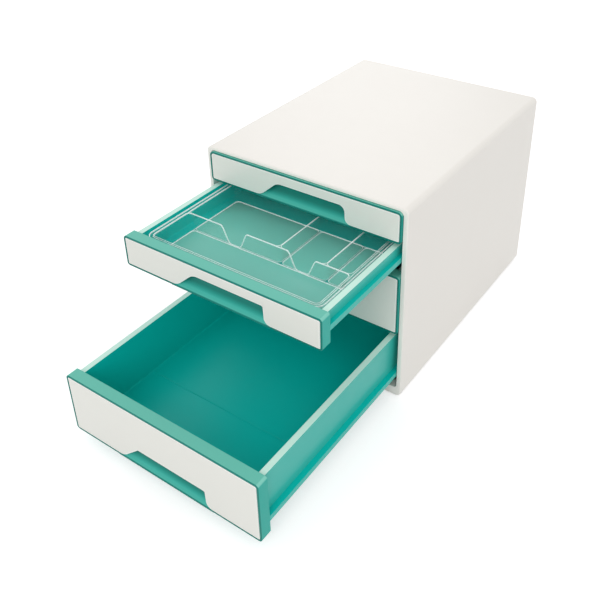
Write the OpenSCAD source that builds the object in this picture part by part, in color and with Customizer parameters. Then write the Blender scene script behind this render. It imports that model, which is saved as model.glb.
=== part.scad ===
// Desktop drawer cabinet for A4 papers: a white casing with two shallow and two deep coloured drawers.
// The second drawer stands half open with its clear organiser insert, and the fourth nearly all the way.
// Frame: origin at the centre of the casing's footprint on the desk, fronts face -Y, +Z up, millimetres.

/* [Casing] */
// Overall width of the casing
casing_w = 287; // [270:1:310]
// Overall depth of the casing
casing_d = 363; // [350:1:400]
// Wall of the top, the sides and the base
casing_wall = 3; // [2.5:0.1:4]
// Radius of the casing's long outer edges
casing_r = 7; // [4:0.5:9]
// Rounding of the casing's front edge
casing_front_round = 1.8; // [0.8:0.1:2.4]
// Front rim's width at each side
rim_side = 5.9; // [5:0.1:8]
// Front rim's height above the top drawer
rim_top = 4.2; // [3.5:0.1:8]
// Front rim's height below the bottom drawer
rim_bottom = 12.8; // [8:0.1:24]
// How far the front rim reaches back
rim_depth = 12; // [8:0.5:16]
// Wall left round the rear panel's rebate
rebate_wall = 1.5; // [1.2:0.1:2]

/* [Rear panel and feet] */
// Thickness of the rear panel
rear_t = 3; // [2:0.1:4]
// How far the rear panel sits inside the casing's back edge
rear_inset = 3; // [1:0.5:6]
// Width of the raised border round the rear panel's field
rear_border = 14; // [8:1:30]
// Depth of the rear panel's field
rear_field = 0.8; // [0.4:0.1:1.2]
// Radius of a rubber foot
foot_r = 8; // [5:0.5:12]
// Thickness of a rubber foot
foot_t = 3; // [2.2:0.1:3.2]
// How far a foot stands below the casing
foot_proud = 1.5; // [1:0.1:2]
// Chamfer round a foot's lower edge
foot_edge = 0.6; // [0.3:0.1:0.9]
// Distance of a foot's centre from the casing's sides, front and back
foot_in = 26; // [16:1:50]

/* [Drawer fronts] */
// Height of a shallow drawer's front
small_h = 40; // [34:1:60]
// Height of a deep drawer's front
large_h = 81.2; // [60:0.2:110]
// Gap between one front and the next
front_gap = 2.5; // [1.5:0.1:4]
// Gap between the fronts and the casing's rim
front_clear = 0.8; // [0.5:0.1:1.5]
// Depth of a front's box
front_d = 14.7; // [13:0.1:20]
// How far closed fronts stand out of the casing
front_proud = 3; // [1:0.5:6]
// Wall of a front's box
front_wall = 2.4; // [1.8:0.1:3]
// Corner radius of a front
front_r = 4; // [3.5:0.5:5]
// Corner radius of the top front's upper corners
top_front_r = 5.5; // [4:0.5:7]
// Rounding of a front's edges
front_edge = 0.7; // [0.3:0.1:1]
// Coloured border that shows round the white fascia
border = 2; // [1:0.1:2.2]
// Groove between the border and the fascia
groove = 0.4; // [0.2:0.05:0.5]
// Thickness of the fascia
fascia_t = 2.5; // [1.8:0.1:3]
// Rounding of the fascia's front edge
fascia_edge = 0.8; // [0.3:0.1:1]
// Thickness of the upright ribs behind a front
front_rib_t = 1.6; // [1.2:0.1:2.4]
// Number of ribs on each side of the finger recess
front_ribs = 3; // [2:1:5]
// Distance of the outermost rib from the front's side
front_rib_in = 8; // [6:0.5:20]
// Distance of the innermost rib from the finger recess
front_rib_gap = 10; // [5:0.5:20]

/* [Finger recess] */
// Height of the fascia's cut-out above the front's bottom edge
cut_h = 25; // [20:0.5:28]
// Where the cut-out's long wave starts, left of the middle
wave_start = 65; // [50:1:90]
// Radius of the wave's foot
wave_r = 17.5; // [10:0.5:20]
// Slope of the wave, in degrees
wave_slope = 42; // [30:1:50]
// Radius over the wave where it runs out softly, on the shallow drawers
wave_top_r = 17.5; // [4:0.5:20]
// Where the cut-out's steep end stands, right of the middle
steep_x = 63; // [40:0.5:80]
// Lean of the steep end, in degrees
steep_lean = 2; // [1:1:20]
// Radius of the steep end's upper corner on the top drawer
steep_r = 8; // [3:0.5:9]
// Radius of the crisp upper corners on the lower drawers' cut-outs
crisp_r = 2; // [1:0.5:3]
// Radius of the flare at the steep end's foot
flare_r = 8; // [4:0.5:10]
// Depth of the scoop behind the front
scoop_d = 9.5; // [8:0.1:10]
// How far the scoop reaches up behind the fascia
scoop_up = 4; // [2:0.5:6]
// Lip under the scoop
scoop_lip = 1.2; // [0.8:0.1:2]
// Wall of the scoop
scoop_wall = 1.6; // [1.2:0.1:2]
// Radius of the scoop's upright corners
scoop_corner = 6; // [3:0.5:8]

/* [Drawer trays] */
// Wall of a tray
tray_wall = 2; // [1.6:0.1:3]
// Width of the ledge along a tray's sides and back
ledge_w = 7.2; // [6:0.1:9]
// How far the ledge lies below the front's top edge
ledge_drop = 2.9; // [2.5:0.1:5]
// How far the tray's skirt stands in from the front's side
skirt_in = 4.8; // [4:0.1:7]
// Height of the tray's floor above the front's bottom edge
floor_up = 10.6; // [8:0.1:14]
// Draft of the tray's walls, in degrees
draft = 2; // [0.5:0.1:3]
// Radius where the tray's walls meet its floor
floor_r = 3; // [1:0.5:6]
// Height of the runner's lower edge above the front's bottom edge
runner_up = 17.5; // [16:0.1:20]
// Height of a runner
runner_h = 7; // [5:0.1:9]
// Height of the stop lug on a runner
lug_h = 4; // [2.5:0.1:5]
// Length of the stop lug
lug_l = 8; // [5:0.5:12]
// Room left behind a closed tray
tray_rear_room = 7.5; // [3:0.5:20]
// Distance of the low floor rib behind a deep drawer's front plane
rib_y = 110; // [60:1:200]
// Height of the floor rib
rib_h = 0.6; // [0.3:0.1:1.5]
// Width of the floor rib
rib_w = 1.4; // [1:0.1:3]

/* [Runner panels] */
// Thickness of a runner panel
panel_t = 2.8; // [2:0.1:3.2]
// Thickness of a rail
rail_t = 2.5; // [1.8:0.1:3]
// Sliding clearance between a runner and its rails
slide_clear = 0.3; // [0.2:0.05:0.5]
// Clearance between a rail's edge and the tray's skirt
rail_clear = 1; // [0.5:0.1:1.4]
// Height kept free between the panels and the casing's base and top
panel_end = 4; // [4:0.5:8]

/* [Opening] */
// How far a drawer travels from closed to its stop
travel = 270; // [262:1:300]
// How far the second drawer stands open
open_2 = 152; // [0:1:260]
// How far the fourth drawer stands open
open_4 = 261; // [0:1:261]

/* [Organiser insert] */
// Depth of the insert, front to back
insert_d = 160.5; // [150:0.5:200]
// Height of the insert
insert_h = 24.5; // [20:0.5:26]
// Gap between the insert's rim and the tray at the sides and the front
insert_gap = 3.3; // [1:0.1:8]
// Width of the insert's rim
insert_rim = 6.5; // [4:0.1:8]
// Wall of the insert
insert_wall = 1.4; // [1:0.1:2]
// How far the insert's outer walls lean in on their way down
insert_lean = 5.5; // [2:0.1:8]
// Corner radius of the insert's compartments
insert_r = 5; // [2:0.5:8]
// Depth of the pen channel, from the rim's inner edge to the long wall
pen_d = 59.5; // [40:0.5:80]
// Width of the right rear compartment
right_w = 31.5; // [20:0.5:50]
// Width of the middle rear compartment
middle_w = 61; // [40:0.5:80]
// Half of a finger dip's width at its top
dip_top = 20; // [14:0.5:24]
// Half of a finger dip's width at its foot
dip_foot = 6; // [3:0.5:12]
// Height of the wall that is left under a finger dip
dip_sill = 1; // [0.5:0.1:6]

/* [Hidden] */
$fn = 64;

CASING_COLOUR = [0.94, 0.93, 0.91];
FASCIA_COLOUR = [0.90, 0.90, 0.88];
FRONT_COLOUR = [0.29, 0.73, 0.65];
TRAY_COLOUR = [0.16, 0.66, 0.59];
INSERT_COLOUR = [0.85, 0.97, 0.94, 0.35];
PANEL_COLOUR = [0.88, 0.88, 0.87];
RUBBER_COLOUR = [0.2, 0.2, 0.2];

through = 1;                                    // how far a cut runs past the surface it opens
arc_steps = 8;                                  // steps along a round corner of an outline
small_steps = 4;                                // steps along a small corner
arc_mid = 1 - cos(45);                          // how far in a quarter arc's middle lies, for a radius of 1
fit = 0.2;                                      // clearance round a seated piece

// Heights, counted up from the desk
base_top = foot_proud + casing_wall;
rim_low = foot_proud + rim_bottom;
bottom_4 = rim_low + front_clear;
bottom_3 = bottom_4 + large_h + front_gap;
bottom_2 = bottom_3 + large_h + front_gap;
bottom_1 = bottom_2 + small_h + front_gap;
rim_high = bottom_1 + small_h + front_clear;
casing_top = rim_high + rim_top;
inner_top = casing_top - casing_wall;

// Depths, counted back from the middle of the casing
casing_front = -casing_d / 2;
casing_back = casing_d / 2;
closed_y = casing_front - front_proud;
rim_back = casing_front + rim_depth;
rear_y = casing_back - rear_inset - rear_t;

// Widths
front_w = casing_w - 2 * (rim_side + front_clear);
opening_w = front_w + 2 * front_clear;
inner_w = casing_w - 2 * casing_wall;
panel_face = inner_w / 2 - panel_t;
skirt_x = front_w / 2 - skirt_in;
ledge_x = skirt_x - ledge_w;

// A tray's own frame: y = 0 on its front plane, z = 0 on its front's bottom edge
tray_l = rear_y - tray_rear_room - closed_y;
wall_y = front_d - tray_wall;
runner_top = runner_up + runner_h;
lug_y = tray_l - lug_l;
insert_y = front_d + insert_gap;

// Radii of a cut-out's upper left and upper right corners
soft_cut = [wave_top_r, steep_r];
half_soft_cut = [wave_top_r, crisp_r];
crisp_cut = [crisp_r, crisp_r];

// Points of an arc round (cx, cz), from angle a to angle b
function arc(cx, cz, r, a, b, steps = arc_steps) =
    [for (i = [0 : steps]) let (t = a + (b - a) * i / steps) [cx + r * cos(t), cz + r * sin(t)]];

// Outline of a rounded rectangle, half as wide as hw, from z0 up to z1, drawn anticlockwise
function round_outline(hw, z0, z1, r_top, r_low, steps = arc_steps) = concat(
    arc(hw - r_low, z0 + r_low, r_low, -90, 0, steps),
    arc(hw - r_top, z1 - r_top, r_top, 0, 90, steps),
    arc(-hw + r_top, z1 - r_top, r_top, 90, 180, steps),
    arc(-hw + r_low, z0 + r_low, r_low, 180, 270, steps)
);

// Lower edge of the fascia from left to right: up the long wave and, past the cut-out, down the steep end.
// r is the radius of the upper corner that each of them has
function wave(z0, r) =
    let (rise = cut_h - z0 - (wave_r + r) * (1 - cos(wave_slope)))
    let (top_x = (wave_r + r) * sin(wave_slope) + rise / tan(wave_slope) - wave_start)
    concat(
        arc(-wave_start, z0 + wave_r, wave_r, 270, 270 + wave_slope),
        arc(top_x, cut_h - r, r, 90 + wave_slope, 90)
    );
function steep_end(z0, r) = concat(
    arc(steep_x - r, cut_h - r, r, 90, steep_lean),
    arc(flare_x(z0, r), z0 + flare_r, flare_r, 180 + steep_lean, 270)
);
function flare_x(z0, r) =
    let (drop = cut_h - z0 - (r + flare_r) * (1 - sin(steep_lean)))
    steep_x - r + (r + flare_r) * cos(steep_lean) + drop * tan(steep_lean);

// Points of a closed outline moved inwards by e, along the mean of the two edges that meet there
function unit(v) = v / norm(v);
function inward(pts, i) =
    let (n = len(pts), before = pts[(i + n - 1) % n], after = pts[(i + 1) % n], along = unit(after - before))
    [-along[1], along[0]];
function inset(pts, e) = [for (i = [0 : len(pts) - 1]) pts[i] + e * inward(pts, i)];

// Rounded rectangle with exact corners, centred on x, from z0 up to z1
module plate_shape(w, z0, z1, r_top, r_low) {
    translate([-w / 2, z0 + r_low]) square([w, z1 - z0 - r_low - r_top]);
    translate([-w / 2 + r_low, z0]) square([w - 2 * r_low, z1 - z0 - r_top]);
    translate([-w / 2 + r_top, z0 + r_low]) square([w - 2 * r_top, z1 - z0 - r_low]);
    for (side = [-1, 1]) {
        translate([side * (w / 2 - r_low), z0 + r_low]) circle(r_low);
        translate([side * (w / 2 - r_top), z1 - r_top]) circle(r_top);
    }
}

// Stands a shape drawn in x and z up, from depth y0 back to depth y1
module extrude_back(y0, y1) {
    translate([0, y1, 0]) rotate([90, 0, 0]) linear_extrude(y1 - y0) children();
}

// Runs a shape drawn in y and z along x, from x0 to x1
module extrude_across(x0, x1) {
    translate([x0, 0, 0]) rotate([90, 0, 90]) linear_extrude(x1 - x0) children();
}

// Closed skin over a stack of rings, each anticlockwise as seen from the stack's last ring. With strips,
// each end is closed between the ring's first half, from left to right, and its second half, back again
module loft(rings, strips = false) {
    n = len(rings[0]);
    points = [for (ring = rings) each ring];
    last = (len(rings) - 1) * n;
    sides = [
        for (k = [0 : len(rings) - 2])
            for (i = [0 : n - 1])
                let (a = k * n + i, b = k * n + (i + 1) % n)
                each [[a, a + n, b], [b, a + n, b + n]]
    ];
    first_face = strips
        ? [for (i = [0 : n / 2 - 2]) [i, i + 1, n - 2 - i, n - 1 - i]]
        : [[for (i = [0 : n - 1]) i]];
    last_face = [for (face = first_face) [for (i = [len(face) - 1 : -1 : 0]) last + face[i]]];
    polyhedron(points, concat(first_face, sides, last_face));
}

// A plate from y = 0 back to y = t with its front edge rounded by e
module soft_plate(pts, t, e, strips = false) {
    rings = [[t, 0], [e, 0], [arc_mid * e, arc_mid * e], [0, e]];
    loft([for (ring = rings) [for (p = inset(pts, ring[1])) [p[0], ring[0], p[1]]]], strips);
}

// ---- Casing ----

// Outer block of the casing, its front edge rounded
module casing_block() {
    outline = round_outline(casing_w / 2, foot_proud, casing_top, casing_r, casing_r, 2 * arc_steps);
    translate([0, casing_front, 0]) soft_plate(outline, casing_d, casing_front_round);
}

module foot_places() {
    x = casing_w / 2 - foot_in;
    y = casing_d / 2 - foot_in;
    for (sx = [-1, 1])
        for (sy = [-1, 1])
            translate([sx * x, sy * y, 0]) children();
}

module casing_shell() {
    corner = casing_r - casing_wall;
    color(CASING_COLOUR)
    difference() {
        casing_block();
        extrude_back(rim_back, rear_y + through)
            plate_shape(inner_w, base_top, inner_top, corner, corner);
        extrude_back(casing_front - through, rim_back + through)
            plate_shape(opening_w, rim_low, rim_high, top_front_r + front_clear, front_r + front_clear);
        extrude_back(rear_y, casing_back + through)
            plate_shape(
                casing_w - 2 * rebate_wall, foot_proud + rebate_wall, casing_top - rebate_wall,
                casing_r - rebate_wall, casing_r - rebate_wall
            );
        foot_places() cylinder(h = foot_t, r = foot_r + fit);
    }
}

module rear_panel() {
    edge = rebate_wall + fit;
    corner = casing_r - edge;
    low = foot_proud + edge;
    high = casing_top - edge;
    field = edge + rear_border;
    color(CASING_COLOUR)
    difference() {
        extrude_back(rear_y, rear_y + rear_t)
            plate_shape(casing_w - 2 * edge, low, high, corner, corner);
        extrude_back(rear_y + rear_t - rear_field, rear_y + rear_t + through)
            plate_shape(casing_w - 2 * field, low + rear_border, high - rear_border, corner, corner);
    }
}

// side_x is -1 on the left and 1 on the right, side_y -1 at the front and 1 at the back
module foot(side_x, side_y) {
    x = casing_w / 2 - foot_in;
    y = casing_d / 2 - foot_in;
    color(RUBBER_COLOUR)
    translate([side_x * x, side_y * y, 0]) {
        cylinder(h = foot_edge, r1 = foot_r - foot_edge, r2 = foot_r);
        translate([0, 0, foot_edge]) cylinder(h = foot_t - foot_edge, r = foot_r);
    }
}

// Rails of one drawer whose front's bottom edge lies at z: one under the runner, one above its lug,
// and a stop that hangs from the upper rail just over the runner
module rails(z) {
    rail_x = skirt_x + rail_clear;
    rail_y = rim_back + fit;
    low = z + runner_up - slide_clear - rail_t;
    high = z + runner_top + lug_h + slide_clear;
    stop_back = closed_y + lug_y - travel - slide_clear;
    rail_back = rear_y - fit;
    translate([rail_x, rail_y, low]) cube([panel_face - rail_x + panel_t / 2, rail_back - rail_y, rail_t]);
    translate([rail_x, rail_y, high]) cube([panel_face - rail_x + panel_t / 2, rail_back - rail_y, rail_t]);
    translate([rail_x, stop_back - lug_l, z + runner_top + slide_clear])
        cube([panel_face - rail_x + panel_t / 2, lug_l, lug_h + rail_t / 2]);
}

// Plate against the casing's side wall with the rails of all four drawers, right way round for side = 1
module runner_panel(side) {
    panel_h = inner_top - base_top - 2 * panel_end;
    color(PANEL_COLOUR)
    mirror([side < 0 ? 1 : 0, 0, 0]) {
        translate([panel_face, rim_back + fit, base_top + panel_end])
            cube([panel_t, rear_y - rim_back - 2 * fit, panel_h]);
        for (z = [bottom_1, bottom_2, bottom_3, bottom_4]) rails(z);
    }
}

// ---- Drawers, each in its own frame ----

module at_drawer(bottom, open) {
    translate([0, closed_y - open, bottom]) children();
}

// Hollow of the scoop from depth y0 back, grown by its wall: a round cut that starts at the lip and
// stands upright at its back, with round upright corners
module scoop_space(grow, y0) {
    low = max(0, scoop_lip - grow);
    high = cut_h + scoop_up + grow;
    rise = cut_h - scoop_lip;
    round_r = (scoop_d * scoop_d + rise * rise) / (2 * scoop_d);
    left = -wave_start;
    right = flare_x(border + groove, crisp_r);
    back = scoop_d + grow;
    intersection() {
        extrude_across(left - grow, right + grow)
            intersection() {
                translate([scoop_d - round_r, cut_h]) circle(round_r + grow);
                translate([y0, low]) square([back - y0, high - low]);
            }
        translate([(left + right) / 2, 0, low])
            linear_extrude(high - low)
                plate_shape(right - left + 2 * grow, -scoop_d, back, scoop_corner + grow, scoop_corner);
    }
}

// Outline of the fascia of a front of height h, with its wave-shaped cut-out. cut_r holds the radii of
// the cut-out's upper left and upper right corners
function fascia_outline(h, r_top, cut_r) =
    let (edge = border + groove, hw = front_w / 2 - edge, r_low = front_r - edge, r_high = r_top - edge)
    let (cut = concat(wave(edge, cut_r[0]), steep_end(edge, cut_r[1])))
    concat(
        arc(-hw + r_low, edge + r_low, r_low, 180, 270, small_steps),
        cut,
        arc(hw - r_low, edge + r_low, r_low, 270, 360, small_steps),
        arc(hw - r_high, h - edge - r_high, r_high, 0, 90, small_steps),
        [for (i = [len(cut) - 1 : -1 : 0]) [cut[i][0], h - edge]],
        arc(-hw + r_high, h - edge - r_high, r_high, 90, 180, small_steps)
    );

// White plate let into the front
module fascia(h, r_top, cut_r) {
    color(FASCIA_COLOUR) soft_plate(fascia_outline(h, r_top, cut_r), fascia_t, fascia_edge, strips = true);
}

// Coloured box of the front: border, web behind the fascia, scoop and an open back with ribs
module front(h, r_top, cut_r) {
    web = fascia_t + front_wall;
    color(FRONT_COLOUR)
    difference() {
        union() {
            difference() {
                soft_plate(round_outline(front_w / 2, 0, h, r_top, front_r), front_d, front_edge);
                extrude_back(web, front_d + through)
                    plate_shape(
                        front_w - 2 * front_wall, front_wall, h - front_wall,
                        r_top - front_wall / 2, front_r - front_wall / 2
                    );
            }
            scoop_space(scoop_wall, 0);
            upright_ribs(h);
        }
        extrude_back(-through, fascia_t) polygon(inset(fascia_outline(h, r_top, cut_r), -groove));
        scoop_space(0, -through);
    }
}

// Upright ribs behind the web, which meet the tray's front wall
module upright_ribs(h) {
    near = wave_start + front_rib_gap;
    step = (front_w / 2 - front_rib_in - near) / (front_ribs - 1);
    for (side = [-1, 1])
        for (i = [0 : front_ribs - 1])
            translate([side * (near + i * step) - front_rib_t / 2, fascia_t, front_wall / 2])
                cube([front_rib_t, wall_y - fascia_t, h - front_wall]);
}

// How far a tray's wall has leaned in at height z, counted from its ledge at height ledge_z
function lean(z, ledge_z) = (ledge_z - z) * tan(draft);

// Cross-section of the tray's hollow or, grown by its wall, of the tub round it
function tub_section(a, b, ledge_z, low, r, above) = [
    [a + lean(low, ledge_z) + r, low],
    [b - lean(low, ledge_z) - r, low],
    [b - lean(low, ledge_z) - arc_mid * r, low + arc_mid * r],
    [b - lean(low + r, ledge_z), low + r],
    [b, ledge_z],
    [b, ledge_z + above],
    [a, ledge_z + above],
    [a, ledge_z],
    [a + lean(low + r, ledge_z), low + r],
    [a + lean(low, ledge_z) + arc_mid * r, low + arc_mid * r]
];

// Hollow of a tray, grown by its wall, that reaches up past the ledge by the height above
module tub(ledge_z, grow, above) {
    low = floor_up - grow;
    r = floor_r + grow;
    back = tray_l - ledge_w + grow;
    intersection() {
        extrude_back(front_d - grow, back)
            polygon(tub_section(-ledge_x - grow, ledge_x + grow, ledge_z, low, r, above));
        extrude_across(-skirt_x, skirt_x)
            polygon(tub_section(front_d - grow, back, ledge_z, low, r, above));
    }
}

// Skirt and runner on the right side, one section along the whole tray
module side_skirt(ledge_z) {
    foot_x = skirt_x - (ledge_z - runner_up) * tan(draft);
    extrude_back(front_d, tray_l)
        polygon([
            [skirt_x - tray_wall, ledge_z], [foot_x - tray_wall, runner_up], [foot_x, runner_up],
            [skirt_x - (ledge_z - runner_top + tray_wall) * tan(draft), runner_top - tray_wall],
            [front_w / 2 - tray_wall, runner_top - tray_wall], [front_w / 2 - tray_wall, runner_up],
            [front_w / 2, runner_up], [front_w / 2, runner_top],
            [skirt_x - (ledge_z - runner_top) * tan(draft), runner_top], [skirt_x, ledge_z]
        ]);
    translate([skirt_x + rail_clear, lug_y, runner_top - tray_wall])
        cube([front_w / 2 - skirt_x - rail_clear, lug_l, lug_h + tray_wall]);
}

// Tray behind a front of height h: tub, ledge, back and side skirts with their runners. Its front wall
// closes the front's box from inside, with corners that follow the front's upper corners
module tray(h, r_top, ribbed) {
    ledge_z = h - ledge_drop;
    wall_in = front_wall + fit;
    color(TRAY_COLOUR)
    difference() {
        union() {
            tub(ledge_z, tray_wall, 0);
            translate([-skirt_x, wall_y, ledge_z - tray_wall])
                cube([2 * skirt_x, tray_l - wall_y, tray_wall]);
            extrude_back(wall_y, front_d)
                plate_shape(
                    front_w - 2 * wall_in, floor_up - tray_wall, h - wall_in,
                    r_top - front_wall / 2, front_r - front_wall / 2
                );
            translate([-skirt_x, tray_l - tray_wall, runner_up])
                cube([2 * skirt_x, tray_wall, ledge_z - runner_up]);
            side_skirt(ledge_z);
            mirror([1, 0, 0]) side_skirt(ledge_z);
        }
        difference() {
            tub(ledge_z, 0, through);
            if (ribbed)
                translate([-skirt_x, rib_y - rib_w / 2, floor_up - through])
                    cube([2 * skirt_x, rib_w, rib_h + through]);
        }
    }
}

// ---- Organiser insert, in the second drawer's frame ----

insert_hw = ledge_x - insert_gap;
insert_top = floor_up + insert_h;
pen_back = insert_y + insert_rim + pen_d;

// Rounded rectangle from (x0, y0) to (x1, y1) as a ring at height z
function ring_at(x0, y0, x1, y1, r, z) =
    let (mid = (x0 + x1) / 2)
    [for (p = round_outline((x1 - x0) / 2, y0, y1, r, r)) [mid + p[0], p[1], z]];

// A pocket whose walls lean in by the given amounts on the left, front, right and back
module pocket(x0, y0, x1, y1, leans) {
    low = floor_up + insert_wall;
    above = (insert_h + through) / (insert_h - insert_wall) - 1;
    out = leans * above;
    loft([
        ring_at(x0 + leans[0], y0 + leans[1], x1 - leans[2], y1 - leans[3], insert_r, low),
        ring_at(x0 - out[0], y0 - out[1], x1 + out[2], y1 + out[3], insert_r, insert_top + through)
    ]);
}

// Outer form of the insert's tub below its rim
module insert_tub() {
    out = insert_rim - insert_wall;
    low_out = out + insert_lean;
    r = insert_r + insert_wall;
    y1 = insert_y + insert_d;
    loft([
        ring_at(-insert_hw + low_out, insert_y + low_out, insert_hw - low_out, y1 - low_out, r, floor_up),
        ring_at(-insert_hw + out, insert_y + out, insert_hw - out, y1 - out, r, insert_top - insert_wall / 2)
    ]);
}

// Finger dip in the long wall: waves down from its top edge, a short sill and a wave up again
module dip(x) {
    low = floor_up + insert_wall + dip_sill;
    rise = insert_top - low;
    run = dip_top - dip_foot;
    side = [
        for (i = [0 : arc_steps])
            let (t = i / arc_steps) [dip_top - run * t, (1 + cos(180 * t)) / 2 * rise]
    ];
    right = [for (p = side) [x + p[0], low + p[1]]];
    left = [for (i = [arc_steps : -1 : 0]) [x - side[i][0], low + side[i][1]]];
    above = insert_top + through;
    extrude_back(pen_back - insert_wall, pen_back + 2 * insert_wall)
        polygon(concat([[x + dip_top, above]], right, left, [[x - dip_top, above]]));
}

module organiser_insert() {
    lean = insert_lean;
    left_x = -insert_hw + insert_rim;
    right_x = insert_hw - insert_rim;
    front_y = insert_y + insert_rim;
    back_y = insert_y + insert_d - insert_rim;
    rear_y0 = pen_back + insert_wall;
    right_x0 = right_x - right_w;
    middle_x0 = right_x0 - insert_wall - middle_w;
    left_x1 = middle_x0 - insert_wall;
    rim_r = insert_r + insert_rim;
    color(INSERT_COLOUR)
    at_drawer(bottom_2, open_2)
    difference() {
        union() {
            insert_tub();
            translate([0, 0, insert_top - insert_wall])
                linear_extrude(insert_wall)
                    plate_shape(2 * insert_hw, insert_y, insert_y + insert_d, rim_r, rim_r);
        }
        pocket(left_x, front_y, right_x, pen_back, [lean, lean, lean, 0]);
        pocket(left_x, rear_y0, left_x1, back_y, [lean, 0, 0, lean]);
        pocket(middle_x0, rear_y0, right_x0 - insert_wall, back_y, [0, 0, 0, lean]);
        pocket(right_x0, rear_y0, right_x, back_y, [0, 0, lean, lean]);
        dip((left_x + lean + left_x1) / 2);
        dip((middle_x0 + right_x0 - insert_wall) / 2);
    }
}

// ---- Pieces that stand at more than one place ----

module foot_front_left() foot(-1, -1);
module foot_front_right() foot(1, -1);
module foot_rear_left() foot(-1, 1);
module foot_rear_right() foot(1, 1);
module runner_panel_left() runner_panel(-1);
module runner_panel_right() runner_panel(1);
module drawer_1_tray() at_drawer(bottom_1, 0) tray(small_h, top_front_r, false);
module drawer_1_front() at_drawer(bottom_1, 0) front(small_h, top_front_r, soft_cut);
module drawer_1_fascia() at_drawer(bottom_1, 0) fascia(small_h, top_front_r, soft_cut);
module drawer_2_tray() at_drawer(bottom_2, open_2) tray(small_h, front_r, false);
module drawer_2_front() at_drawer(bottom_2, open_2) front(small_h, front_r, half_soft_cut);
module drawer_2_fascia() at_drawer(bottom_2, open_2) fascia(small_h, front_r, half_soft_cut);
module drawer_3_tray() at_drawer(bottom_3, 0) tray(large_h, front_r, true);
module drawer_3_front() at_drawer(bottom_3, 0) front(large_h, front_r, crisp_cut);
module drawer_3_fascia() at_drawer(bottom_3, 0) fascia(large_h, front_r, crisp_cut);
module drawer_4_tray() at_drawer(bottom_4, open_4) tray(large_h, front_r, true);
module drawer_4_front() at_drawer(bottom_4, open_4) front(large_h, front_r, crisp_cut);
module drawer_4_fascia() at_drawer(bottom_4, open_4) fascia(large_h, front_r, crisp_cut);

casing_shell();
rear_panel();
runner_panel_left();
runner_panel_right();
foot_front_left();
foot_front_right();
foot_rear_left();
foot_rear_right();
drawer_1_tray();
drawer_1_front();
drawer_1_fascia();
drawer_2_tray();
drawer_2_front();
drawer_2_fascia();
organiser_insert();
drawer_3_tray();
drawer_3_front();
drawer_3_fascia();
drawer_4_tray();
drawer_4_front();
drawer_4_fascia();
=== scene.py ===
"""Studio scene of a desktop drawer cabinet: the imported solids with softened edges, in moulded plastic.

Lengths are in metres. A pair that is named a span says where a mask is 0 and where it is 1. Directions are
those of a face's normal: its Z is 1 on a level top, and its Y is -1 on a face that looks to the front."""

import math

import bpy
from mathutils import Matrix, Vector

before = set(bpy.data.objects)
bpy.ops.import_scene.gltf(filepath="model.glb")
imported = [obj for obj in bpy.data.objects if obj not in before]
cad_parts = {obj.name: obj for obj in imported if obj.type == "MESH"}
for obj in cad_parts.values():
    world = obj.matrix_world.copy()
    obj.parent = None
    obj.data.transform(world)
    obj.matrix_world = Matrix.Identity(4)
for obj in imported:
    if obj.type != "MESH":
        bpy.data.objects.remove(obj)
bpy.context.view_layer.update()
scene = bpy.context.scene

# ---- Camera, solved from the edges of the casing and the drawer fronts ----

AZIMUTH = math.radians(35.323)
ELEVATION = math.radians(29.728)
ROLL = math.radians(-0.972)
DISTANCE = 1.17328
TARGET = Vector((-0.10347, 0, 0.12877))
LENS_MM = 47.930
SENSOR_MM = 36
SHIFT = (-0.03, -0.18)
NEAREST = 0.01
FARTHEST = 100


def make_camera():
    """Camera at DISTANCE from the target, AZIMUTH to the right of its front and ELEVATION above it, and
    turned by ROLL round the line of sight."""
    forward = Vector(
        (
            -math.sin(AZIMUTH) * math.cos(ELEVATION),
            math.cos(AZIMUTH) * math.cos(ELEVATION),
            -math.sin(ELEVATION),
        )
    )
    right = forward.cross(Vector((0, 0, 1))).normalized()
    up = right.cross(forward)
    rolled_right = math.cos(ROLL) * right + math.sin(ROLL) * up
    rolled_up = -math.sin(ROLL) * right + math.cos(ROLL) * up
    data = bpy.data.cameras.new("camera")
    data.lens = LENS_MM
    data.sensor_width = SENSOR_MM
    data.shift_x, data.shift_y = SHIFT
    data.clip_start = NEAREST
    data.clip_end = FARTHEST
    camera = bpy.data.objects.new("camera", data)
    scene.collection.objects.link(camera)
    place = Matrix((rolled_right, rolled_up, -forward)).transposed().to_4x4()
    place.translation = TARGET - forward * DISTANCE
    camera.matrix_world = place
    scene.camera = camera


# ---- Nodes, as the modifiers and the materials use them ----

EDGE_SAMPLES = 8
EDGE_SPAN = (0.998, 0.965)  # cosine between the face's normal and the rounded one


def link(tree, source, target):
    """Joins an output to an input of the same tree."""
    tree.links.new(source, target)


def noise(tree, scale, detail):
    """A noise texture on the piece's own coordinates."""
    texture = tree.nodes.new("ShaderNodeTexNoise")
    texture.inputs["Scale"].default_value = scale
    texture.inputs["Detail"].default_value = detail
    place = tree.nodes.new("ShaderNodeTexCoord")
    link(tree, place.outputs["Object"], texture.inputs["Vector"])
    return texture.outputs["Fac"]


def bump(tree, height, distance, below=None):
    """Normal of a surface that the height raises by up to the distance, on top of the normal below."""
    node = tree.nodes.new("ShaderNodeBump")
    node.inputs["Strength"].default_value = 1
    node.inputs["Distance"].default_value = distance
    link(tree, height, node.inputs["Height"])
    if below:
        link(tree, below, node.inputs["Normal"])
    return node.outputs["Normal"]


def ramp(tree, value, low, high, to_low=0.0, to_high=1.0):
    """The value carried from low .. high to to_low .. to_high, and held at both ends."""
    node = tree.nodes.new("ShaderNodeMapRange")
    for socket, number in zip(("From Min", "From Max", "To Min", "To Max"), (low, high, to_low, to_high)):
        node.inputs[socket].default_value = number
    link(tree, value, node.inputs["Value"])
    return node.outputs["Result"]


def from_plane(plane, span):
    """The span's two ends, counted from the plane."""
    return plane + span[0], plane + span[1]


def inverse(tree, mask):
    """1 where the mask is 0, and 0 where it is 1."""
    return ramp(tree, mask, 0, 1, 1, 0)


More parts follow.
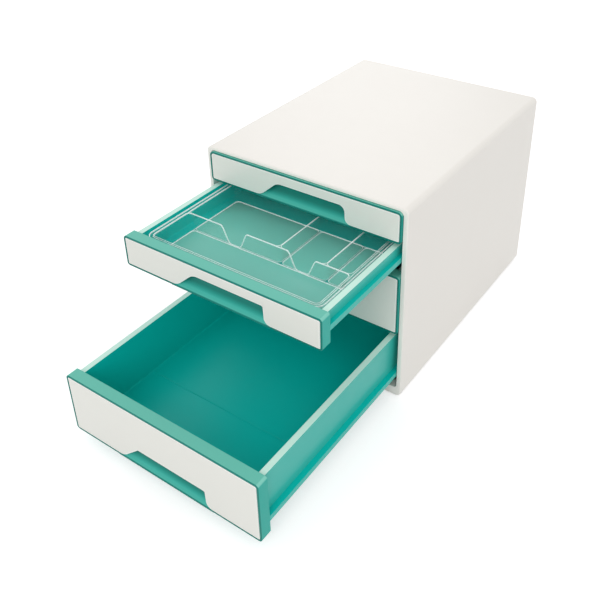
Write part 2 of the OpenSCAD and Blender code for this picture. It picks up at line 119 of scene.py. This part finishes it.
def combine(tree, operation, a, b):
    """The result of a math operation on two sockets."""
    node = tree.nodes.new("ShaderNodeMath")
    node.operation = operation
    link(tree, a, node.inputs[0])
    link(tree, b, node.inputs[1])
    return node.outputs[0]


def product(tree, a, b):
    """Of two masks, the part that lies in both."""
    return combine(tree, "MULTIPLY", a, b)


def larger(tree, a, b):
    """Of two masks, all that lies in either."""
    return combine(tree, "MAXIMUM", a, b)


def mix_colour(tree, factor, a, b):
    """A colour between a and b. Each is a socket or a plain colour."""
    node = tree.nodes.new("ShaderNodeMix")
    node.data_type = "RGBA"
    link(tree, factor, node.inputs["Factor"])
    for socket, colour in (("A", a), ("B", b)):
        if isinstance(colour, tuple):
            node.inputs[socket].default_value = (*colour, 1)
        else:
            link(tree, colour, node.inputs[socket])
    return node.outputs["Result"]


def axis_of(tree, output, axis):
    """One coordinate of the piece's own place or normal."""
    place = tree.nodes.new("ShaderNodeTexCoord")
    split = tree.nodes.new("ShaderNodeSeparateXYZ")
    link(tree, place.outputs[output], split.inputs[0])
    return split.outputs[axis]


def edge_nearness(tree, radius):
    """1 at the piece's edges and 0 farther than about the radius from them."""
    normal = tree.nodes.new("ShaderNodeNewGeometry").outputs["Normal"]
    rounded = tree.nodes.new("ShaderNodeBevel")
    rounded.samples = EDGE_SAMPLES
    rounded.inputs["Radius"].default_value = radius
    facing = tree.nodes.new("ShaderNodeVectorMath")
    facing.operation = "DOT_PRODUCT"
    link(tree, normal, facing.inputs[0])
    link(tree, rounded.outputs["Normal"], facing.inputs[1])
    return ramp(tree, facing.outputs["Value"], *EDGE_SPAN)


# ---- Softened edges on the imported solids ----

SHARP = math.radians(32)
SAME_POINT = 0.00001
EDGE = 0.00025
FRONT_EDGE = 0.0001  # a front's outer edges are rounded in its solid
EDGE_SEGMENTS = 2
BROAD_FACES = 100  # pull of the large faces on the shading, where 50 is neutral


def smooth_group():
    """Node group that shades faces smooth and keeps the edges sharper than SHARP."""
    group = bpy.data.node_groups.new("smooth_by_angle", "GeometryNodeTree")
    group.interface.new_socket("Geometry", in_out="INPUT", socket_type="NodeSocketGeometry")
    group.interface.new_socket("Geometry", in_out="OUTPUT", socket_type="NodeSocketGeometry")
    nodes = group.nodes
    source = nodes.new("NodeGroupInput")
    result = nodes.new("NodeGroupOutput")
    faces = nodes.new("GeometryNodeSetShadeSmooth")
    faces.domain = "FACE"
    edges = nodes.new("GeometryNodeSetShadeSmooth")
    edges.domain = "EDGE"
    edges.inputs["Shade Smooth"].default_value = False
    angle = nodes.new("GeometryNodeInputMeshEdgeAngle")
    compare = nodes.new("FunctionNodeCompare")
    compare.data_type = "FLOAT"
    compare.operation = "GREATER_THAN"
    compare.inputs[1].default_value = SHARP
    link(group, source.outputs[0], faces.inputs["Geometry"])
    link(group, faces.outputs[0], edges.inputs["Geometry"])
    link(group, angle.outputs["Unsigned Angle"], compare.inputs[0])
    link(group, compare.outputs[0], edges.inputs["Selection"])
    link(group, edges.outputs[0], result.inputs[0])
    return group


def soften(piece, group, width):
    """Joins the solid's faces, rounds its sharp edges by width and shades it smooth with the broad faces
    flat, all by modifiers."""
    weld = piece.modifiers.new("joined", "WELD")
    weld.merge_threshold = SAME_POINT
    edge = piece.modifiers.new("soft_edges", "BEVEL")
    edge.width = width
    edge.segments = EDGE_SEGMENTS
    edge.limit_method = "ANGLE"
    edge.angle_limit = SHARP
    edge.miter_outer = "MITER_ARC"
    edge.use_clamp_overlap = False
    shade = piece.modifiers.new("smooth", "NODES")
    shade.node_group = group
    flat = piece.modifiers.new("flat_faces", "WEIGHTED_NORMAL")
    flat.weight = BROAD_FACES
    flat.keep_sharp = True


# ---- Moulded plastic, shared by all pieces but the insert ----

DRIFT_NOISE = (9, 3)  # scale and detail, as in each noise below
POLISH_NOISE = (60, 4)
WAVE_NOISE = (22, 1)
GRAIN_NOISE = (2200, 2)
POLISH_DRIFT = 0.05
WAVE_HEIGHT = 0.00006


def plastic(name, colour, shade, roughness, grain, specular=0.5, tint=None):
    """Moulded plastic: a colour that drifts towards shade over a hand's width, a roughness with a drift of
    its own, a slow waviness and the fine grain of the mould. tint changes the colour by place."""
    material = bpy.data.materials.new(name)
    material.use_nodes = True
    tree = material.node_tree
    shader = tree.nodes["Principled BSDF"]
    shader.inputs["Specular IOR Level"].default_value = specular
    drift = mix_colour(tree, noise(tree, *DRIFT_NOISE), colour, shade)
    if tint:
        drift = tint(tree, drift)
    link(tree, drift, shader.inputs["Base Color"])
    dull = (roughness - POLISH_DRIFT, roughness + POLISH_DRIFT)
    link(tree, ramp(tree, noise(tree, *POLISH_NOISE), 0, 1, *dull), shader.inputs["Roughness"])
    waviness = bump(tree, noise(tree, *WAVE_NOISE), WAVE_HEIGHT)
    link(tree, bump(tree, noise(tree, *GRAIN_NOISE), grain, waviness), shader.inputs["Normal"])
    return material


# ---- Casing, rear panel, runner panels and feet ----

CASING_WHITE = (0.90, 0.87, 0.82)
CASING_SHADE = (0.88, 0.85, 0.80)
RUNNER_WHITE = (0.72, 0.72, 0.70)
RUNNER_SHADE = (0.68, 0.68, 0.66)
RUBBER_BLACK = (0.03, 0.03, 0.03)
RUBBER_SHADE = (0.045, 0.045, 0.045)


def casing_plastic():
    """Warm white of the casing and its rear panel."""
    return plastic("casing_white", CASING_WHITE, CASING_SHADE, roughness=0.36, grain=0.000012)


def runner_plastic():
    """Duller white of the two runner panels."""
    return plastic("runner_white", RUNNER_WHITE, RUNNER_SHADE, roughness=0.5, grain=0.00002)


def foot_rubber():
    """Dark rubber of the four feet."""
    return plastic("foot_rubber", RUBBER_BLACK, RUBBER_SHADE, roughness=0.75, grain=0.00005, specular=0.35)


# ---- Fascias ----

FASCIA_WHITE = (0.80, 0.80, 0.75)
FASCIA_SHADE = (0.78, 0.78, 0.73)
# Painted highlight: the near-white painted along each fascia's edge, and how far in from the edge it
# reaches.
FASCIA_EDGE_HIGHLIGHT = (0.97, 0.98, 0.96)
FASCIA_HIGHLIGHT_WIDTH = 0.0024


def fascia_painted_highlight(tree, colour):
    """Painted highlight: the fascia's edge is painted a brighter white than its face."""
    return mix_colour(tree, edge_nearness(tree, FASCIA_HIGHLIGHT_WIDTH), colour, FASCIA_EDGE_HIGHLIGHT)


def fascia_plastic():
    """Cool white of the four fascias, with a painted highlight along their edges."""
    return plastic(
        "fascia_white", FASCIA_WHITE, FASCIA_SHADE, roughness=0.32, grain=0.000008, tint=fascia_painted_highlight
    )


# ---- Fronts ----

FRONT_TEAL = (0.022, 0.44, 0.37)
FRONT_SHADE = (0.02, 0.41, 0.34)
# Painted light: the top of a front is painted paler, and its rounded ends palest, as a highlight.
FRONT_TOP_LIGHT = (0.14, 0.53, 0.43)
FRONT_ROUNDING_HIGHLIGHT = (0.22, 0.62, 0.52)
# Painted shade: the deep end of the scoop and the border round the fascia are painted darker.
FRONT_DEEP_SHADE = (0.0, 0.20, 0.16)
FRONT_BORDER_SHADE = (0.0, 0.20, 0.165)
TOP_LIGHT_SPAN = (0.45, 0.99)
FORWARD_SPAN = (-0.3, -0.7)
ROUNDING_START_SPAN = (0.2, 0.6)
ROUNDING_END_SPAN = (0.995, 0.94)
DEEP_SHADE_SPAN = (0.0035, 0.007)
BORDER_SHADE_SPAN = (0.001, 0.0007)


def front_painted_light_and_shade(front_y):
    """Painted shade darkens the border round the fascia and the deep end of the scoop, painted light
    makes the top of the front paler, and a painted highlight makes its rounded ends palest. front_y is the
    foremost plane, from which the depths count."""

    def tint(tree, colour):
        rise = axis_of(tree, "Normal", "Z")
        depth = axis_of(tree, "Object", "Y")
        forward = ramp(tree, axis_of(tree, "Normal", "Y"), *FORWARD_SPAN)
        sloped = product(tree, ramp(tree, rise, *ROUNDING_START_SPAN), ramp(tree, rise, *ROUNDING_END_SPAN))
        rounding_highlight = product(tree, sloped, inverse(tree, forward))
        # Painted shade: the deep end of the scoop, and the border round the fascia.
        deep = product(tree, forward, ramp(tree, depth, *from_plane(front_y, DEEP_SHADE_SPAN)))
        border = ramp(tree, depth, *from_plane(front_y, BORDER_SHADE_SPAN))
        # Painted light on the top, a painted highlight on the rounded ends, then the painted shade.
        colour = mix_colour(tree, ramp(tree, rise, *TOP_LIGHT_SPAN), colour, FRONT_TOP_LIGHT)
        colour = mix_colour(tree, rounding_highlight, colour, FRONT_ROUNDING_HIGHLIGHT)
        colour = mix_colour(tree, deep, colour, FRONT_DEEP_SHADE)
        return mix_colour(tree, border, colour, FRONT_BORDER_SHADE)

    return tint


def front_plastic(name, piece):
    """Teal of one front, with its painted light and shade placed by the front's own foremost plane."""
    tint = front_painted_light_and_shade(min(v.co.y for v in piece.data.vertices))
    return plastic(name, FRONT_TEAL, FRONT_SHADE, roughness=0.42, grain=0.00001, specular=0.25, tint=tint)


# ---- Trays ----

TRAY_TEAL = (0.0, 0.53, 0.48)
TRAY_SHADE = (0.0, 0.50, 0.45)
# Painted light: the outer sides of a tray are painted a little paler than its inside.
TRAY_SIDE_LIGHT = (0.04, 0.50, 0.43)
TRAY_LEDGE = (0.62, 0.89, 0.79)
OUTWARD_SPAN = (0.09, 0.11)  # a face's distance from the middle, times how far it looks away from there
LEDGE_RISE_SPAN = (0.6, 0.95)
LEDGE_SPAN = (-0.003, -0.001)


def tray_tint(ledge_z):
    """Painted light makes the tray's outer sides a little paler than its inside, and the top of its ledge
    is much paler.
    """

    def tint(tree, colour):
        outward = product(tree, axis_of(tree, "Normal", "X"), axis_of(tree, "Object", "X"))
        upward = ramp(tree, axis_of(tree, "Normal", "Z"), *LEDGE_RISE_SPAN)
        high = ramp(tree, axis_of(tree, "Object", "Z"), *from_plane(ledge_z, LEDGE_SPAN))
        # Painted light on the outer sides.
        colour = mix_colour(tree, ramp(tree, outward, *OUTWARD_SPAN), colour, TRAY_SIDE_LIGHT)
        return mix_colour(tree, product(tree, upward, high), colour, TRAY_LEDGE)

    return tint


def tray_plastic(name, piece):
    """Deeper teal of one tray, with its tones placed by the height of its ledge, which is its top."""
    tint = tray_tint(max(v.co.z for v in piece.data.vertices))
    return plastic(name, TRAY_TEAL, TRAY_SHADE, roughness=0.36, grain=0.000014, specular=0.3, tint=tint)


# ---- Insert ----

MINT = (0.50, 1.0, 0.84)
MINT_SHADE = (0.44, 0.95, 0.79)
MINT_NOISE = (12, 2)
# Painted highlight: the near-white painted on the insert's edges, and how far in from the edge it reaches.
CLEAR_EDGE_HIGHLIGHT = (0.98, 1.0, 0.99)
CLEAR_HIGHLIGHT_WIDTH = 0.0022
CLEAR_ROUGHNESS = 0.06
CLEAR_SPECULAR = 0.4
CLEAR_WAVE_NOISE = (30, 2)
CLEAR_WAVE_HEIGHT = 0.0001
FLOOR_RISE_SPAN = (0.7, 0.95)
FLOOR_SPAN = (0.006, 0.003)
WALL_HAZE = 0.03
FLOOR_HAZE = 0.40


def clear_plastic(name, piece):
    """Clear moulded plastic: walls that let nearly all light through, a faint mint haze on the floors and
    edges painted bright as a highlight."""
    material = bpy.data.materials.new(name)
    material.use_nodes = True
    tree = material.node_tree
    shader = tree.nodes["Principled BSDF"]
    shader.inputs["Roughness"].default_value = CLEAR_ROUGHNESS
    shader.inputs["Specular IOR Level"].default_value = CLEAR_SPECULAR
    underside = min(v.co.z for v in piece.data.vertices)
    # Painted highlight: near the edges the insert is made opaque and near white.
    edge = edge_nearness(tree, CLEAR_HIGHLIGHT_WIDTH)
    upward = ramp(tree, axis_of(tree, "Normal", "Z"), *FLOOR_RISE_SPAN)
    low = ramp(tree, axis_of(tree, "Object", "Z"), *from_plane(underside, FLOOR_SPAN))
    haze = ramp(tree, product(tree, upward, low), 0, 1, WALL_HAZE, FLOOR_HAZE)
    link(tree, larger(tree, haze, edge), shader.inputs["Alpha"])
    mint = mix_colour(tree, noise(tree, *MINT_NOISE), MINT, MINT_SHADE)
    link(tree, mix_colour(tree, edge, mint, CLEAR_EDGE_HIGHLIGHT), shader.inputs["Base Color"])
    link(tree, bump(tree, noise(tree, *CLEAR_WAVE_NOISE), CLEAR_WAVE_HEIGHT), shader.inputs["Normal"])
    return material


# ---- Every piece with its material and its soft edges ----

CASING = casing_plastic()
FASCIA = fascia_plastic()
RUNNER = runner_plastic()
RUBBER = foot_rubber()


def material_of(name, piece):
    """The material of a piece, by its name. The casing's shell and its rear panel are what is left."""
    if name.startswith("foot"):
        return RUBBER
    if name.startswith("runner"):
        return RUNNER
    if name.endswith("_fascia"):
        return FASCIA
    if name.endswith("_tray"):
        return tray_plastic(name + "_teal", piece)
    if name.endswith("_front"):
        return front_plastic(name + "_teal", piece)
    if name == "organiser_insert":
        return clear_plastic("insert_clear", piece)
    return CASING


def dress_nodes():
    """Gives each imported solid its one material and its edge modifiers."""
    group = smooth_group()
    for name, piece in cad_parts.items():
        piece.data.materials.clear()
        piece.data.materials.append(material_of(name, piece))
        soften(piece, group, FRONT_EDGE if name.endswith("_front") else EDGE)


# ---- Studio ----

WHITE = (1, 1, 1, 1)
WORLD_LIGHT = 0.81
FLOOR_SIZE = 40
FLOOR_Z = -0.0001
FLOOR_WHITE = (0.70, 0.70, 0.70, 1)
FLOOR_ROUGHNESS = 0.9
FLOOR_GLOW = 0.52
LIGHTS_AIM = Vector((-0.05, -0.1, 0.12))


def camera_white(tree):
    """1 on what the camera sees, straight or in gloss and clear walls, and 0 where a surface is lit."""
    path = tree.nodes.new("ShaderNodeLightPath")
    seen = larger(tree, path.outputs["Is Camera Ray"], path.outputs["Is Glossy Ray"])
    return larger(tree, seen, path.outputs["Is Transmission Ray"])


def make_world():
    """Even light from all round, where the camera sees plain white."""
    world = bpy.data.worlds.new("studio")
    world.use_nodes = True
    tree = world.node_tree
    light = tree.nodes["Background"]
    light.inputs["Color"].default_value = WHITE
    light.inputs["Strength"].default_value = WORLD_LIGHT
    white = tree.nodes.new("ShaderNodeBackground")
    white.inputs["Color"].default_value = WHITE
    mix = tree.nodes.new("ShaderNodeMixShader")
    link(tree, camera_white(tree), mix.inputs["Fac"])
    link(tree, light.outputs[0], mix.inputs[1])
    link(tree, white.outputs[0], mix.inputs[2])
    link(tree, mix.outputs[0], tree.nodes["World Output"].inputs["Surface"])
    scene.world = world


def make_floor():
    """Matt floor with a glow that only the camera sees, so it shows white with a soft shadow on it."""
    bpy.ops.mesh.primitive_plane_add(size=FLOOR_SIZE, location=(0, 0, FLOOR_Z))
    floor = bpy.context.object
    floor.name = "floor"
    material = bpy.data.materials.new("floor_white")
    material.use_nodes = True
    tree = material.node_tree
    shader = tree.nodes["Principled BSDF"]
    shader.inputs["Base Color"].default_value = FLOOR_WHITE
    shader.inputs["Roughness"].default_value = FLOOR_ROUGHNESS
    shader.inputs["Specular IOR Level"].default_value = 0
    glow = tree.nodes.new("ShaderNodeEmission")
    scaled = tree.nodes.new("ShaderNodeMath")
    scaled.operation = "MULTIPLY"
    scaled.inputs[1].default_value = FLOOR_GLOW
    link(tree, camera_white(tree), scaled.inputs[0])
    link(tree, scaled.outputs[0], glow.inputs["Strength"])
    add = tree.nodes.new("ShaderNodeAddShader")
    link(tree, shader.outputs[0], add.inputs[0])
    link(tree, glow.outputs[0], add.inputs[1])
    link(tree, add.outputs[0], tree.nodes["Material Output"].inputs["Surface"])
    floor.data.materials.append(material)


def area_light(name, place, size, power):
    """Round soft light at the place, aimed at the cabinet."""
    data = bpy.data.lights.new(name, "AREA")
    data.shape = "DISK"
    data.size = size
    data.energy = power
    lamp = bpy.data.objects.new(name, data)
    scene.collection.objects.link(lamp)
    lamp.location = place
    lamp.rotation_euler = (LIGHTS_AIM - Vector(place)).to_track_quat("-Z", "Y").to_euler()


def make_studio():
    """World, floor, a key light from the front right and a weak light from the back left."""
    scene.view_settings.view_transform = "Standard"
    make_world()
    make_floor()
    area_light("key", place=(0.9, -2.3, 1.45), size=1.6, power=17)
    area_light("back", place=(-1.2, 1.8, 1.3), size=1.2, power=4)


make_camera()
dress_nodes()
make_studio()
